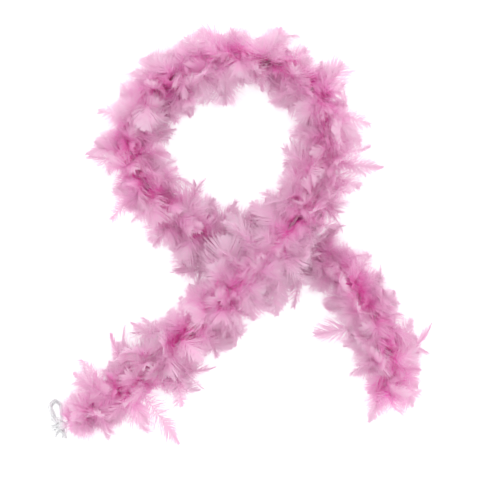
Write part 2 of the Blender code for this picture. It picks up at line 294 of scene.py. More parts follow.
OVER_RUN = run_nearest(distance_to(OVER_POINT), 0.0, END_RUN / 2)
UNDER_RUN = run_nearest(distance_to(UNDER_POINT), END_RUN / 2, END_RUN)
TOP_RUN = RUN[np.argmax(PLAN[:, 1])]


def eased(value, low, high):
    """0 up to low, 1 from high on, and a smooth step between."""
    share = np.clip((value - low) / (high - low), 0.0, 1.0)
    return share * share * (3 - 2 * share)


def nearness(run, crossing_run):
    """1 at the crossing, falling to 0 where the two strands no longer meet."""
    return 1 - eased(abs(run - crossing_run) / PLUME_HALF_WIDTH, CROSSING_CORE, CROSSING_REACH)


def fullness(run):
    """Share of the full plume, thin at the neck and a little less at the far end."""
    neck_share = NECK_HALF_WIDTH / PLUME_HALF_WIDTH
    neck = neck_share + (1 - neck_share) * eased(run, NECK_START, NECK_LENGTH)
    return neck * (1 - FAR_END_SLIMMING * eased(run, END_RUN - FAR_END_LENGTH, END_RUN))


def half_height(run):
    flat = 1 - (1 - CROSSING_FLATTEN) * max(nearness(run, OVER_RUN), nearness(run, UNDER_RUN))
    return PLUME_HALF_HEIGHT * fullness(run) * flat


def core_at(run):
    """The middle of the cord at one place."""
    carried = 2 * PLUME_HALF_HEIGHT * CROSSING_FLATTEN + CROSSING_GAP
    height = half_height(run) + carried * nearness(run, OVER_RUN)
    return Vector((np.interp(run, RUN, PLAN[:, 0]), np.interp(run, RUN, PLAN[:, 1]), height))


def heading_at(run):
    return Vector([np.interp(run, RUN, HEADINGS[:, k]) for k in (0, 1)] + [0]).normalized()


def cord_points(start, end, step):
    """Places about step apart along the cord, from start to end."""
    return [core_at(run) for run in np.linspace(start, end, max(2, round((end - start) / step) + 1))]


def evenly(start, end, count):
    return list(np.linspace(start, end, count + 1)[:-1])


HALF_BUNCH = CROSSING_BUNCH_LENGTH / 2
LOW_RIGHT = run_nearest(abs(PLAN[:, 1] - LOW_FOLD_Y), OVER_RUN, TOP_RUN)
HIGH_RIGHT = run_nearest(abs(PLAN[:, 1] - HIGH_FOLD_Y), OVER_RUN, TOP_RUN)
HIGH_LEFT = run_nearest(abs(PLAN[:, 1] - HIGH_FOLD_Y), TOP_RUN, UNDER_RUN)
LOW_LEFT = run_nearest(abs(PLAN[:, 1] - LOW_FOLD_Y), TOP_RUN, UNDER_RUN)
# Where one bunch ends and the next begins, all along the cord
PARTINGS = [
    *evenly(0.0, OVER_RUN - HALF_BUNCH, 5), OVER_RUN - HALF_BUNCH, OVER_RUN + HALF_BUNCH, LOW_RIGHT,
    *evenly(HIGH_RIGHT, HIGH_LEFT, 6), HIGH_LEFT, *evenly(LOW_LEFT, UNDER_RUN - HALF_BUNCH, 2),
    UNDER_RUN - HALF_BUNCH, *evenly(UNDER_RUN + HALF_BUNCH, END_RUN - KNOT_LENGTH, 4), END_RUN - KNOT_LENGTH,
]
BUNCHES = len(PARTINGS) - 1
BODIES = frame["record"]["behaviour"]["bodies"]


def body_of(node):
    """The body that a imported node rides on."""
    return next(body for body, nodes in BODIES.items() if node in nodes)


BODY_OF = [body_of(f"feather_bunch_{n:02d}") for n in range(1, BUNCHES + 1)]
# The partings that are joints: the parting's number, as the number of the bunch before it
JOINTS = [n for n in range(1, BUNCHES) if BODY_OF[n - 1] != BODY_OF[n]]


def bend_over(piece, joint):
    """Bakes a piece's transform into its mesh. Where a bend across the joint after bunch number joint would
    start and end is worked out, but the piece is not bent.
    """
    run = PARTINGS[joint]
    way = heading_at(run)
    # The loop folds along lines from left to right, so there the bend runs straight across them, along y.
    if min(abs(run - place) for place in (LOW_RIGHT, HIGH_RIGHT, HIGH_LEFT, LOW_LEFT)) < ROUTE_STEP:
        way = Vector((0, math.copysign(1, way.y), 0))
    start, end = core_at(run) - way * BEND_REACH, core_at(run) + way * BEND_REACH
    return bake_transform(piece, BODY_OF[joint - 1], BODY_OF[joint], start=tuple(start), end=tuple(end))


class Recipe(Tree):
    """A geometry node tree with named inputs, which grows a piece along lines of points."""

    def __init__(self, name, **inputs):
        super().__init__(bpy.data.node_groups.new(name, "GeometryNodeTree"))
        self.sockets = self.nodes_of.interface
        self.sockets.new_socket("Geometry", in_out="OUTPUT", socket_type="NodeSocketGeometry")
        self.sockets.new_socket("Geometry", in_out="INPUT", socket_type="NodeSocketGeometry")
        kinds = {int: "NodeSocketInt", float: "NodeSocketFloat", bpy.types.Material: "NodeSocketMaterial"}
        for label, value in inputs.items():
            socket = self.sockets.new_socket(label, in_out="INPUT", socket_type=kinds[type(value)])
            socket.default_value = value
        self.given = self.add("NodeGroupInput")

    def input(self, name):
        return self.given.out(name)

    def read(self, name, kind="FLOAT"):
        return self.add("GeometryNodeInputNamedAttribute", {"Name": name}, data_type=kind)

    def read_vector(self, name):
        return self.read(name, "FLOAT_VECTOR")

    def store(self, geometry, **values):
        """The same geometry with named values on its points."""
        for name, value in values.items():
            kind = "FLOAT_VECTOR" if self.is_vector(value) else "FLOAT"
            held = {"Geometry": geometry, "Name": name, "Value": value}
            geometry = self.add("GeometryNodeStoreNamedAttribute", held, data_type=kind, domain="POINT")
        return geometry

    def finish(self, geometry):
        """Real faces with the recipe's material, as the tree's result."""
        geometry = self.add("GeometryNodeRealizeInstances", {"Geometry": geometry})
        geometry = self.add("GeometryNodeRemoveAttribute", {"Geometry": geometry, "Name": "grow_*"},
                            pattern_mode="WILDCARD")
        geometry = self.add("GeometryNodeSetShadeSmooth", {"Geometry": geometry})
        dressed = {"Geometry": geometry, "Material": self.input("Finish")}
        self.add("NodeGroupOutput", {"Geometry": self.add("GeometryNodeSetMaterial", dressed)})

    def make(self, name, lines, marks, **values):
        """A plain mesh that the recipe grows along lines of points, which carry marks."""
        guide_mesh = bpy.data.meshes.new(name + "_guide")
        edges, first = [], 0
        for line in lines:
            edges += [(i, i + 1) for i in range(first, first + len(line) - 1)]
            first += len(line)
        guide_mesh.from_pydata([tuple(p) for line in lines for p in line], edges, [])
        for mark, numbers in marks.items():
            layer = guide_mesh.attributes.new(mark, "FLOAT", "POINT")
            layer.data.foreach_set("value", np.array(numbers, np.float32))
        guide = link(bpy.data.objects.new(name + "_guide", guide_mesh))
        modifier = guide.modifiers.new("recipe", "NODES")
        modifier.node_group = self.nodes_of
        for item in self.sockets.items_tree:
            if item.in_out == "INPUT" and item.name in values:
                modifier[item.identifier] = values[item.name]
        graph = bpy.context.evaluated_depsgraph_get()
        mesh = bpy.data.meshes.new_from_object(guide.evaluated_get(graph), preserve_all_data_layers=True,
                                               depsgraph=graph)
        guide.modifiers.remove(modifier)
        bpy.data.objects.remove(guide)
        bpy.data.meshes.remove(guide_mesh)
        mesh.name = name
        return link(bpy.data.objects.new(name, mesh))


# Fine fibres over coarser tufts of them, the same on cotton, thread and feather
TUFT_TO_FIBRE, TUFT_SHARE, FIBRE_SHARE = 0.12, 0.45, 0.55
fibre_grain = Tree(bpy.data.node_groups.new("fibre_grain", "ShaderNodeTree"))
for label, kind in (("Scale", "NodeSocketFloat"), ("Vector", "NodeSocketVector")):
    fibre_grain.nodes_of.interface.new_socket(label, in_out="INPUT", socket_type=kind)
fibre_grain.nodes_of.interface.new_socket("Grain", in_out="OUTPUT", socket_type="NodeSocketFloat")
given = fibre_grain.add("NodeGroupInput")
coarse = fibre_grain.noise(given.out("Vector"), given.out("Scale") * TUFT_TO_FIBRE, 3.0)
fine = fibre_grain.noise(given.out("Vector"), given.out("Scale"), 4.0)
fibre_grain.add("NodeGroupOutput", {"Grain": coarse * TUFT_SHARE + fine * FIBRE_SHARE})


def fibres(finish, scale):
    """The fibre grain on a material, from 0 to 1."""
    made = finish.nodes_of.nodes.new("ShaderNodeGroup")
    made.node_tree = fibre_grain.nodes_of
    made.inputs["Scale"].default_value = scale
    finish.nodes_of.links.new(finish.place.socket, made.inputs["Vector"])
    return Field(finish, made.outputs["Grain"])


cotton = Finish("cotton_yarn", Sheen_Weight=0.35, Sheen_Roughness=0.6, IOR=1.45)
grain = fibres(cotton, 1100.0)
cotton_yarn = cotton.set(
    Base_Color=cotton.ramp(grain, (0.25, (0.68, 0.68, 0.70)), (0.75, (0.90, 0.90, 0.91))),
    Roughness=cotton.eased(grain, 0.2, 0.8, 0.95, 0.8),
    Normal=cotton.bump(grain, 0.0004, 0.7),
)

yarn = Recipe("plied_yarn", Plies=3, Ply_Depth=0.3, Lay=0.02, Sides=18, Finish=cotton_yarn)
line = yarn.add("GeometryNodeMeshToCurve", {"Mesh": yarn.input("Geometry")})
laid = yarn.add("GeometryNodeSplineParameter").out("Length") / yarn.input("Lay") * math.tau
line = yarn.add("GeometryNodeSetCurveTilt", {"Curve": line, "Tilt": laid})
turn = yarn.add("GeometryNodeSplineParameter") * math.tau * yarn.input("Plies")
groove = (1 - yarn.sum("COSINE", turn)) * yarn.input("Ply_Depth") * 0.5
section = yarn.add("GeometryNodeCurvePrimitiveCircle", {"Resolution": yarn.input("Sides"), "Radius": 1.0})
section = yarn.add("GeometryNodeSetPosition", {
    "Geometry": section, "Position": yarn.add("GeometryNodeInputPosition") * (1 - groove)})
yarn.finish(yarn.add("GeometryNodeCurveToMesh", {
    "Curve": line, "Profile Curve": section, "Scale": yarn.read("thick"), "Fill Caps": True}))

# The cord is cut into stretches at the middle of each body, so that each stretch has one joint in it.
cord_cuts = [0.0]
for one, two in zip(JOINTS, JOINTS[1:]):
    cord_cuts.append((PARTINGS[one] + PARTINGS[two]) / 2)
cord_cuts.append(END_RUN)
CORE_NODES = [node for nodes in BODIES.values() for node in sorted(nodes) if node.startswith("core_")]
for number, (start, end) in enumerate(zip(cord_cuts, cord_cuts[1:]), 1):
    path = cord_points(start, end, CORD_STEP)
    marks = {"thick": [CORE_RADIUS] * len(path)}
    stretch = yarn.make(f"core_cord_{number:02d}", [path], marks, **CORD)
    bend_over(stretch, JOINTS[number - 1])
    round(float(end - start), 3)
    if number == 1:
        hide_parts(*CORE_NODES)

# ---- Tied end ----------------------------------------------------------------------------------------------
# The end of the cord that no feathers cover: nine loose white cotton yarns, folded back as a loop 35 mm long.
# A knot of wound yarn holds them beside the thin neck, and their cut ends fray out past it on the table.
TIED_LOOP = (
    (-0.0016, 0.0094), (-0.0025, 0.0220), (-0.0060, 0.0340), (-0.0135, 0.0400), (-0.0205, 0.0355),
    (-0.0200, 0.0245), (-0.0150, 0.0125), (-0.0093, 0.0034),
)
KNOT_RADIUS, NECK_TO_KNOT = 0.0075, 0.0055
KNOT_TURNS, UNDER_TURNS, UNDER_SHARE, BARREL_BULGE = 5.2, -4.6, 0.86, 0.78
OUTER_YARN, STRAP_YARN = 1.35, 1.25  # thickness against the loop's own yarns
STRAP_LENGTH, STRAP_WIDTH, STRAP_HEIGHT = 0.95, 0.55, 0.78  # against the knot's own half length and radius
CORE_SPREAD, GENTLE_TURNS = 0.0021, 0.4
LOOP_RADIUS, LOOP_YARNS, LOOP_STEP, LOOP_SPREAD = 0.0034, 9, 0.0008, (0.0012, 0.0050)
YARN_RADIUS, YARN_ROOM = 0.00105, 1.3
YARN = {"Plies": 2, "Ply_Depth": 0.3, "Lay": 0.005, "Sides": 10}
CUT_YARNS, CUT_LENGTH, CUT_WAYS = 14, (0.013, 0.025), (160, 285)
FOLDS, FOLD_LENGTH, FOLD_WIDTH, FOLD_WAYS = 13, (0.009, 0.019), (0.002, 0.005), (110, 290)
FOLD_BLUNTNESS, FOLD_SAG = 0.6, 0.45
FRAYED_FIBRES, FRAYED_LENGTH, FIBRE_RADIUS = 14, 0.007, 0.0002
FRAYED_SPRAY, FRAYED_CURL = 0.75, 0.25
UP = Vector((0, 0, 1))
draws = np.random.default_rng(11)


def wound(path, spread, turns, first=0.0, wander=0.0):
    """A line round a path, spread away from it, with a given number of turns and an uneven lay."""
    points = np.array([tuple(p) for p in path])
    ways = np.gradient(points, axis=0)
    sides = np.cross(ways, UP)
    sides /= np.linalg.norm(sides, axis=1)[:, None]
    lifts = np.cross(sides, ways / np.linalg.norm(ways, axis=1)[:, None])
    share = np.linspace(0, 1, len(points))
    turn = (first + turns * share + wander * np.sin(share * 9 + first * 31)) * math.tau
    outward = np.cos(turn)[:, None] * sides + np.sin(turn)[:, None] * lifts
    return points + outward * np.reshape(spread, (-1, 1))


def frayed(start, way, length):
    """A cut yarn that sags to the table, with the fibres of its open end, as lines and their thicknesses."""
    share = np.linspace(0, 1, 22)
    curl = draws.uniform(-FRAYED_CURL, FRAYED_CURL)
    side = way.cross(UP)
    sag = max(start.z - YARN_RADIUS * YARN_ROOM, 0)
    line = [start + way * length * s + side * (curl * length * s * s) - UP * (sag * min(1, s * 1.5) ** 1.4)
            for s in share]
    lines, thick = [line], [np.interp(share, (0, 0.8, 1), (1, 1, 0.35)) * YARN_RADIUS]
    for _ in range(FRAYED_FIBRES):
        spray = (way + Vector(draws.uniform(-FRAYED_SPRAY, FRAYED_SPRAY, 3))).normalized()
        tip = line[-4]
        reach = FRAYED_LENGTH * draws.uniform(0.4, 1.0)
        hair = [tip + spray * reach * s + side * (reach * 0.3 * curl * s * s) for s in np.linspace(0, 1, 6)]
        lines.append([Vector((p.x, p.y, max(p.z, 2 * FIBRE_RADIUS))) for p in hair])
        thick.append(np.linspace(1.2, 0.5, 6) * FIBRE_RADIUS)
    return lines, thick


def tie_knot(name, centre, way, through):
    """A barrel of wound yarn over a bundle of yarns, with one turn pulled across it."""
    half = KNOT_LENGTH / 2
    share = np.linspace(-1, 1, 190)
    axis = [centre + way * (s * (half - YARN_RADIUS * YARN_ROOM)) for s in share]
    belly = (KNOT_RADIUS - YARN_RADIUS * 1.4) * np.sqrt(1 - (BARREL_BULGE * share) ** 2)
    lines = [wound(axis, belly, KNOT_TURNS), wound(axis, belly * UNDER_SHARE, UNDER_TURNS, 0.3, 0.1)]
    thick = [np.full(len(share), YARN_RADIUS * OUTER_YARN)] * 2
    strap = [centre + way * (math.sin(a) * half * STRAP_LENGTH)
             + way.cross(UP) * (math.cos(a) * KNOT_RADIUS * STRAP_WIDTH)
             + UP * (math.cos(a) * KNOT_RADIUS * STRAP_HEIGHT) for a in np.linspace(-1.5, 1.5, 40)]
    lines.append(strap)
    thick.append(np.full(len(strap), YARN_RADIUS * STRAP_YARN))
    core = [centre + way * s for s in np.linspace(-half, half + through, 30)]
    for k in range(LOOP_YARNS):
        lines.append(wound(core, CORE_SPREAD if k else 0.0, GENTLE_TURNS, k / (LOOP_YARNS - 1)))
        thick.append(np.full(len(core), YARN_RADIUS))
    return yarn.make(name, lines, {"thick": np.concatenate(thick)}, **YARN)


knot_centre = core_at(0.0) - heading_at(0.0) * (KNOT_LENGTH / 2 + NECK_TO_KNOT)
plan = spline_through([(knot_centre.x + x, knot_centre.y + y) for x, y in TIED_LOOP], LOOP_STEP)
fall = np.linspace(knot_centre.z, LOOP_RADIUS, len(plan) // 3)
rest = np.concatenate([fall, np.full(len(plan) - 2 * len(fall), LOOP_RADIUS), fall[::-1]])
loop_path = [Vector((x, y, z)) for (x, y), z in zip(plan, rest)]
loop_lines = []
for k, spread in enumerate(np.linspace(*LOOP_SPREAD, LOOP_YARNS)):
    swell = spread * np.sin(np.linspace(0.5, 2.6, len(loop_path)))
    line = wound(loop_path, swell, GENTLE_TURNS, k * 0.382, 0.12)
    line[:, 2] = np.maximum(line[:, 2], YARN_RADIUS)
    loop_lines.append(line)
loop_thick = [YARN_RADIUS] * (LOOP_YARNS * len(loop_path))
tied_loop = yarn.make("tied_loop_yarns", loop_lines, {"thick": loop_thick}, **YARN)
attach(tied_loop, body_of("end_loop"))
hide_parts("end_loop")

loop_knot = tie_knot("tied_knot", knot_centre, heading_at(0.0), NECK_TO_KNOT)
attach(loop_knot, body_of("loop_knot"))
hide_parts("loop_knot")

cut_lines, cut_thick = [], []
for angle in np.linspace(*np.radians(CUT_WAYS), CUT_YARNS):
    way = Vector((math.cos(angle), math.sin(angle), 0))
    start = knot_centre + way * KNOT_RADIUS * 0.5 + UP * draws.uniform(-0.6, 0.2) * KNOT_RADIUS
    lines, thick = frayed(start, way, draws.uniform(*CUT_LENGTH))
    cut_lines += lines
    cut_thick += thick
for angle in np.linspace(*np.radians(FOLD_WAYS), FOLDS):
    way = Vector((math.cos(angle), math.sin(angle), 0))
    long, rise = draws.uniform(*FOLD_LENGTH), draws.uniform(-0.2, 0.7) * KNOT_RADIUS
    wide = draws.uniform(*FOLD_WIDTH)
    fold = [knot_centre + way * (long * math.sin(a) ** FOLD_BLUNTNESS) + way.cross(UP) * (wide * math.cos(a))
            + UP * (rise - knot_centre.z * FOLD_SAG * math.sin(a))
            for a in np.linspace(0.02, math.pi - 0.02, 30)]
    cut_lines.append(fold)
    cut_thick.append(np.full(len(fold), YARN_RADIUS))
cut_ends = yarn.make("cut_yarn_ends", cut_lines, {"thick": np.concatenate(cut_thick)}, **YARN)
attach(cut_ends, body_of("cut_ends"))
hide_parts("cut_ends")

# ---- Far knot ----------------------------------------------------------------------------------------------
# The same cotton knot, hidden by feathers, which stops the last bunch from sliding off the cord's other end.
END_KNOT_GAP = 0.001
far_centre = core_at(END_RUN) - heading_at(END_RUN) * (KNOT_LENGTH / 2 - END_KNOT_GAP)
far_knot = tie_knot("far_knot", far_centre, heading_at(END_RUN), END_KNOT_GAP)
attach(far_knot, body_of("end_knot"))
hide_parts("end_knot")

# ---- Thread bindings ---------------------------------------------------------------------------------------
# Dyed sewing thread wound tightly over the quills of each bunch, twelve turns in 14 mm of the cord.
# The cut ends of the quills stand out a little at both sides of the thread.
BINDING_LENGTH, BINDING_TURNS, BINDING_RADIUS, THREAD_RADIUS = 0.014, 12, 0.0041, 0.00055
QUILLS, QUILL_RADIUS, QUILL_OVERHANG = 9, 0.00055, 0.006
OPEN_PITCH = 0.002
POINTS_PER_TURN, POINTS_PER_OPEN_TURN = 14, 10

thread = Finish("binding_thread", Sheen_Weight=0.2, Sheen_Roughness=0.5)
is_quill = thread.add("ShaderNodeAttribute", attribute_name="quill").out("Fac")
strand_grain = fibres(thread, 1500.0)
binding_thread = thread.set(
    Base_Color=thread.ramp(is_quill * 0.6 + strand_grain * 0.4,
                           (0.1, (0.50, 0.04, 0.24)), (0.9, (0.90, 0.72, 0.78)), (0.35, (0.78, 0.20, 0.46))),
    Roughness=thread.eased(is_quill, 0.0, 1.0, 0.85, 0.45),
    Normal=thread.bump(strand_grain, 0.0003, 0.6),
)
THREAD = {"Plies": 1, "Ply_Depth": 0.0, "Sides": 6, "Finish": binding_thread}
# Between the bindings the thread runs on along the cord in open turns.
for number, (start, end) in enumerate(zip(cord_cuts, cord_cuts[1:]), 1):
    turns = round((end - start) / OPEN_PITCH)
    path = [core_at(run) for run in np.linspace(start, end, turns * POINTS_PER_OPEN_TURN)]
    laid = wound(path, CORE_RADIUS + THREAD_RADIUS * 0.8, turns)
    marks = {"thick": [THREAD_RADIUS] * len(path), "quill": [0.0] * len(path)}
    open_turns = yarn.make(f"thread_run_{number:02d}", [laid], marks, **THREAD)
    bend_over(open_turns, JOINTS[number - 1])

for number in range(1, BUNCHES + 1):
    start, end = PARTINGS[number - 1], PARTINGS[number]
    one, two = core_at(start + (end - start) / 3), core_at(start + (end - start) * 2 / 3)
    middle, way = (one + two) / 2, (two - one).normalized()
    half = BINDING_LENGTH / 2 - THREAD_RADIUS
    axis = [middle + way * s for s in np.linspace(-half, half, BINDING_TURNS * POINTS_PER_TURN)]
    turned = wound(axis, BINDING_RADIUS, BINDING_TURNS)
    lines, thick, quill = [turned], [THREAD_RADIUS] * len(turned), [0.0] * len(turned)
    for k in range(QUILLS):
        reach = BINDING_LENGTH / 2 + QUILL_OVERHANG * draws.uniform(0.3, 1.0)
        straight = [middle + way * s for s in np.linspace(-reach, reach, 8)]
        lines.append(wound(straight, BINDING_RADIUS - THREAD_RADIUS, 0.02, k / QUILLS))
        thick += list(np.interp(np.linspace(0, 1, 8), (0, 0.1, 1), (0.6, 1, 0.7)) * QUILL_RADIUS)
        quill += [1.0] * 8
    binding = yarn.make(f"thread_binding_{number:02d}", lines, {"thick": thick, "quill": quill}, **THREAD)
    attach(binding, BODY_OF[number - 1])
    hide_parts(f"thread_wrap_{number:02d}")

# ---- Feathers ----------------------------------------------------------------------------------------------
# Dyed turkey feathers of the soft kind: a thin curved shaft, with loose down at its root and a vane above it.
# Their roots stand all round the cord, and their barbs are separate soft ribbons along each shaft.
# The plume is fuller in some places than in others, and short down fills it next to the cord.
FEATHERS_PER_METRE, CROSSING_CROWDING = 900, 0.35
BARBS, VANE_WIDTH, BARB_WIDTH = 112, 0.027, 0.0008
STEP_ALONG_BUNCH = 0.006
ROOT_RADIUS, CLUMP_DEPTH = 0.0035, 0.03
GOLDEN_TURN, TURN_WANDER = 0.618034, 0.12
CLUMPING, FLOWING, MEANDERING, TUFTING, TANGLING = 26.0, 17.0, 31.0, 120.0, 75.0  # noise scales
BOW_SHORTENING, BOW_SIDEWAYS = 0.35, 0.62
SHAFT_WIDTH, SHAFT_RIDGE, SHAFT_LIFT = 0.0011, 0.0016, 0.0002
# How far the feathers lean along the cord at its two ends and at the shoulder after the thin neck
NECK_LEAN, NECK_LEAN_END, FAR_LEAN, FAR_LEAN_LENGTH = 1.5, 0.04, 1.6, 0.05
SHOULDER_LEAN, SHOULDER_RUN, SHOULDER_LENGTH = 0.6, 0.08, 0.05
# Place along the cord, and how far the feathers reach to its left and to its right
REACHES = (
    (0.00, 0.011, 0.012), (0.03, 0.015, 0.028), (0.08, 0.074, 0.068), (0.15, 0.076, 0.096),
    (0.23, 0.078, 0.092), (0.30, 0.084, 0.062), (0.40, 0.084, 0.074), (0.50, 0.064, 0.084),
    (0.60, 0.074, 0.080), (0.70, 0.046, 0.074), (0.80, 0.044, 0.056), (0.88, 0.044, 0.044),
    (0.95, 0.068, 0.040), (1.04, 0.088, 0.040), (1.12, 0.096, 0.050), (1.20, 0.066, 0.080),
    (1.30, 0.078, 0.060), (1.38, 0.088, 0.090), (1.47, 0.080, 0.076), (1.60, 0.056, 0.050),
    (1.68, 0.050, 0.064), (1.74, 0.082, 0.058), (1.83, 0.062, 0.074),
)
# Tips above TALLEST are pressed into the next FLATTENED metres, and tips under PRESSED stay above LOWEST
TALLEST, FLATTENED = 0.090, 0.029
LOWEST, PRESSED = 0.0006, 0.007
# How far out from the cord the deep magenta shows, as a share of the plume and in metres: partly denser dye
# in the down, partly painted shade deep in the plume
DYE_AND_SHADE_REACH, DYE_AND_SHADE_DEPTH = 0.4, 0.026
SEE_THROUGH = 0.58
# Shares of the feathers that are short down, at the sides and on top, and its length against the others'
DOWN_AT_SIDES, DOWN_ON_TOP, DOWN_LENGTH = 0.3, 0.45, 0.42
# A draw above the first makes a feather stray, wholly so from the second on, and longer by the third
STRAY_FROM, STRAY_FULL, STRAY_LENGTH = 0.87, 0.94, 0.35
# How far feathers hang down everywhere, and how much more on top
DROOP, DROOP_ON_TOP = 0.3, 0.6
# How much shafts bow: least and most, what lying on top adds, and the limit
BOW_LEAST, BOW_MOST, BOW_LYING, BOW_LIMIT = 0.15, 1.0, 0.55, 1.25

feather_finish = Finish("dyed_feather", Roughness=0.85, IOR=1.4)
feather_finish.shader.inputs["Specular IOR Level"].default_value = 0.12


def on_feather(name):
    return feather_finish.add("ShaderNodeAttribute", attribute_name=name).out("Fac")


mottle = feather_finish.noise(feather_finish.place, 42.0, 3.0)
fibre = fibres(feather_finish, 700.0)
# The feathers are deep magenta next to the cord and paler on the shafts, on the tips and towards the outside.
# The deep magenta is partly denser dye in the down and partly painted shade deep in the plume.
paleness = (on_feather("clear") * 0.64 + on_feather("along") * 0.2 + on_feather("outward") * 0.1
            + on_feather("tone") * 0.14 + on_feather("streak") * 0.34 + on_feather("spine") * 0.2
            + mottle * 0.2 + fibre * 0.34 - 0.52)
# The low end of the ramp is deep magenta, partly the dye and partly painted shade deep in the plume.
feather_colour_and_shade = feather_finish.ramp(
    paleness,
    (0.0, (0.95, 0.06, 0.62)), (1.0, (0.89, 0.75, 0.84)), (0.16, (0.96, 0.22, 0.71)),
    (0.34, (0.95, 0.54, 0.81)), (0.58, (0.94, 0.67, 0.84)), (0.80, (0.92, 0.71, 0.83)),
)
dyed_feather = feather_finish.set(Base_Color=feather_colour_and_shade)
through = feather_finish.add("ShaderNodeBsdfTranslucent", {"Color": feather_colour_and_shade})
half_clear = feather_finish.add("ShaderNodeMixShader", {0: SEE_THROUGH, 2: through})
surface_output = feather_finish.nodes_of.nodes["Material Output"]
feather_finish.nodes_of.links.new(feather_finish.shader.outputs["BSDF"], half_clear.socket.node.inputs[1])
feather_finish.nodes_of.links.new(half_clear.socket, surface_output.inputs["Surface"])

plume = Recipe("bound_feathers", Feathers=100, Barbs=BARBS, Vane_Width=VANE_WIDTH, Barb_Width=BARB_WIDTH,
               Seed=1, Finish=dyed_feather)
seed = plume.input("Seed")


def chance(low, high, salt):
    """A random number, or vector, for each point, different for each salt."""
    kind = "FLOAT" if isinstance(low, (int, float)) else "FLOAT_VECTOR"
    inputs = {"Min": low, "Max": high, "Seed": seed + salt}
    return plume.add("FunctionNodeRandomValue", inputs, data_type=kind)


def unit(vector):
    return plume.add("ShaderNodeVectorMath", {0: vector}, operation="NORMALIZE")


def cross(one, two):
    return plume.sum("CROSS_PRODUCT", one, two)


def dot(one, two):
    return plume.sum("DOT_PRODUCT", one, two).out("Value")


def swirl(place, scale, detail=1.0):
    """A short vector that changes slowly from place to place."""
    return plume.noise(place, scale, detail).out("Color") - (0.5, 0.5, 0.5)


def along_cord(mark, share):
    """The cord's place, direction and mark at a share of the bunch's length."""
    inputs = {"Curves": guide_line, "Value": plume.read(mark), "Factor": share}
    return plume.add("GeometryNodeSampleCurve", inputs, mode="FACTOR", data_type="FLOAT", use_all_curves=True)


# Roots spiral round the cord, each at its own share of the bunch's length
guide_line = plume.add("GeometryNodeMeshToCurve", {"Mesh": plume.input("Geometry")})
index = plume.add("GeometryNodeInputIndex")
share = (index + chance(0.0, 1.0, 1)) / plume.input("Feathers")
left, right, high = along_cord("left", share), along_cord("right", share), along_cord("high", share)
sweep = along_cord("sweep", share)
cord_way = unit(left.out("Tangent"))
side_way = unit(cross(cord_way, (0.0, 0.0, 1.0)))
up_way = cross(side_way, cord_way)
spun = (index * GOLDEN_TURN + chance(-TURN_WANDER, TURN_WANDER, 2)) * math.tau
turn = spun - plume.sum("SINE", spun * 2.0) * 0.08
across_share, up_share = plume.sum("COSINE", turn), plume.sum("SINE", turn)
outward = side_way * across_share + up_way * up_share
# How far the plume reaches in a root's direction, and how long its feather is
wide = left + (right - left) * plume.eased(across_share, -0.35, 0.35)
reach = ((across_share / wide) ** 2.0 + (up_share / high) ** 2.0) ** -0.5
root = left.out("Position") + outward * ROOT_RADIUS
clump = root + outward * CLUMP_DEPTH
lumps = plume.noise(clump, CLUMPING, 1.0)
down_share = plume.eased(up_share, 0.0, 1.0, DOWN_AT_SIDES, DOWN_ON_TOP)
short = plume.eased(chance(0.0, 1.0, 13) - down_share, 0.0, 0.02, DOWN_LENGTH, 1.0)
stray = plume.eased(chance(0.0, 1.0, 14), STRAY_FROM, STRAY_FULL, 0.0, 1.0)
length = (reach * short * (stray * STRAY_LENGTH + 1.0) * chance(0.78, 1.16, 3)
          * plume.eased(lumps, 0.3, 0.7, 0.8, 1.26))
# Which way it sets out, which way it bends, and which way its flat side faces
flow = swirl(clump, FLOWING) * 4.0
aim_way = unit(outward + cord_way * (dot(flow, cord_way) * 0.8 + chance(-0.45, 0.45, 4) + sweep))
lying = plume.eased(up_share, 0.1, 0.9)
meander = plume.noise(clump, MEANDERING, 0.0) * 5.0 - 2.5
drift = (flow * (lying * 0.8 + 0.8) + chance((-1.0, -1.0, -1.0), (1.0, 1.0, 0.7), 5)
         + side_way * (lying * (meander + chance(-0.8, 0.8, 15)) * 0.9)
         + plume.add("ShaderNodeCombineXYZ", {"Z": -DROOP_ON_TOP * up_share - DROOP}))
bend_way = unit(drift - aim_way * dot(drift, aim_way))
flat_way = unit(cross(aim_way, bend_way))
roll = chance(-0.6, 0.6, 6)
vane_way = flat_way * plume.sum("COSINE", roll) + cross(aim_way, flat_way) * plume.sum("SINE", roll)
quills = plume.add("GeometryNodePoints", {"Count": plume.input("Feathers")})
quills = plume.store(
    quills, grow_root=root, grow_aim=aim_way, grow_bend=bend_way, grow_vane=vane_way, grow_length=length,
    grow_bow=plume.sum("MINIMUM", chance(BOW_LEAST, BOW_MOST, 7) + lying * short * BOW_LYING, BOW_LIMIT),
    grow_limit=reach,
    grow_size=(chance(0.62, 1.25, 8) + stray * 0.3) * (0.5 + short * 0.5), grow_reach=short,
    grow_downy=chance(0.0, 1.0, 9) ** 0.6 * (1 - stray * 0.6), tone=chance(0.0, 1.0, 10),
)


def shaft(u):
    """A shaft's place and direction at u, from 0 at its root to 1 at its tip, and its vane's two ways."""
    bow, long = plume.read("grow_bow"), plume.read("grow_length")
    ahead, bent = plume.read_vector("grow_aim"), plume.read_vector("grow_bend")
    rise = u * (1 - u * bow * BOW_SHORTENING) * long
    place = plume.read_vector("grow_root") + ahead * rise + bent * (u * u * bow * long * BOW_SIDEWAYS)
    way = unit(ahead * (1 - u * bow * (2 * BOW_SHORTENING)) + bent * (u * bow * (2 * BOW_SIDEWAYS)))
    face = unit(cross(way, plume.read_vector("grow_vane")))
    return place, way, face, cross(face, way)


